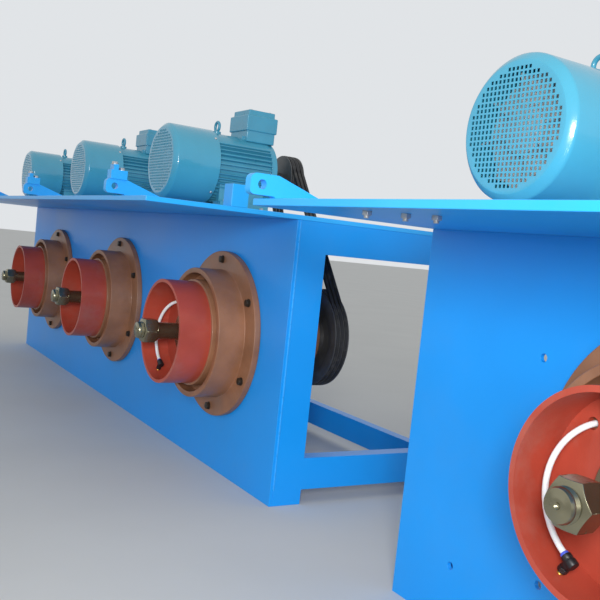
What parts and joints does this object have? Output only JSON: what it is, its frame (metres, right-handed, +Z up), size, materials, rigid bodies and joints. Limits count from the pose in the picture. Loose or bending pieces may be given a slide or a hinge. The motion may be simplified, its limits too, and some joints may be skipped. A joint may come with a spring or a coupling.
{
  "type": "wire drawing machine",
  "caption": "Straight-line wire drawing machine with belt-driven horizontal spindles in open cooling cups on welded box frames, motors on the top plates.",
  "frame": {"origin": "on the floor, under the middle of the machine's bounding box", "axes": "+X along the line to the single-block end, +Y from the spindle side to the rear, +Z up"},
  "size_m": [5.912, 1.338, 1.448],
  "materials": {
    "panel_blue": "semi-gloss",
    "edge_blue": "semi-gloss",
    "brown_primer": "matt",
    "red_oxide": "matt",
    "spindle_steel": "turned",
    "motor_teal": "semi-gloss",
    "belt_black": "matt",
    "hose_white": "satin",
    "elbow_black": "satin"
  },
  "bodies": {
    "frame": {"long_front_panel": "panel_blue", "long_left_end": "panel_blue", "long_right_end": "panel_blue", "long_rear_frame": "panel_blue", "long_top_plate": "edge_blue", "near_front_panel": "panel_blue", "near_frame": "panel_blue", "near_top_plate": "edge_blue", "hub_housing_1": "brown_primer", "hub_housing_2": "brown_primer", "hub_housing_3": "brown_primer", "hub_housing_4": "brown_primer", "cooling_cup_1": "red_oxide", "cooling_cup_2": "red_oxide", "cooling_cup_3": "red_oxide", "cooling_cup_4": "red_oxide", "motor_1": "motor_teal", "motor_2": "motor_teal", "motor_3": "motor_teal", "motor_4": "motor_teal", "fan_cowl_1": "motor_teal", "fan_cowl_2": "motor_teal", "fan_cowl_3": "motor_teal", "fan_cowl_4": "motor_teal", "terminal_box_1": "motor_teal", "terminal_box_2": "motor_teal", "terminal_box_3": "motor_teal", "terminal_box_4": "motor_teal", "belt_drive_1": "belt_black", "belt_drive_2": "belt_black", "belt_drive_3": "belt_black", "belt_drive_4": "belt_black", "guide_bracket_1": "edge_blue", "guide_bracket_2": "edge_blue", "guide_bracket_3": "edge_blue", "guide_bracket_4": "edge_blue", "guide_lug": "edge_blue", "coolant_hose_3": "hose_white", "coolant_hose_4": "hose_white", "hose_elbow_3": "elbow_black", "hose_elbow_4": "elbow_black"},
    "spindle_1": {"spindle_1": "spindle_steel"},
    "spindle_2": {"spindle_2": "spindle_steel"},
    "spindle_3": {"spindle_3": "spindle_steel"},
    "spindle_4": {"spindle_4": "spindle_steel"}
  },
  "joints": [
    {"name": "spindle_1_turn", "type": "hinge", "parent": "frame", "child": "spindle_1", "pos_m": [-2.226, -0.111, 0.528], "axis": [0, 1, 0], "continuous": true},
    {"name": "spindle_2_turn", "type": "hinge", "parent": "frame", "child": "spindle_2", "pos_m": [-1.016, -0.111, 0.528], "axis": [0, 1, 0], "continuous": true},
    {"name": "spindle_3_turn", "type": "hinge", "parent": "frame", "child": "spindle_3", "pos_m": [0.194, -0.111, 0.528], "axis": [0, 1, 0], "continuous": true},
    {"name": "spindle_4_turn", "type": "hinge", "parent": "frame", "child": "spindle_4", "pos_m": [2.166, -0.111, 0.52], "axis": [0, 1, 0], "continuous": true}
  ]
}
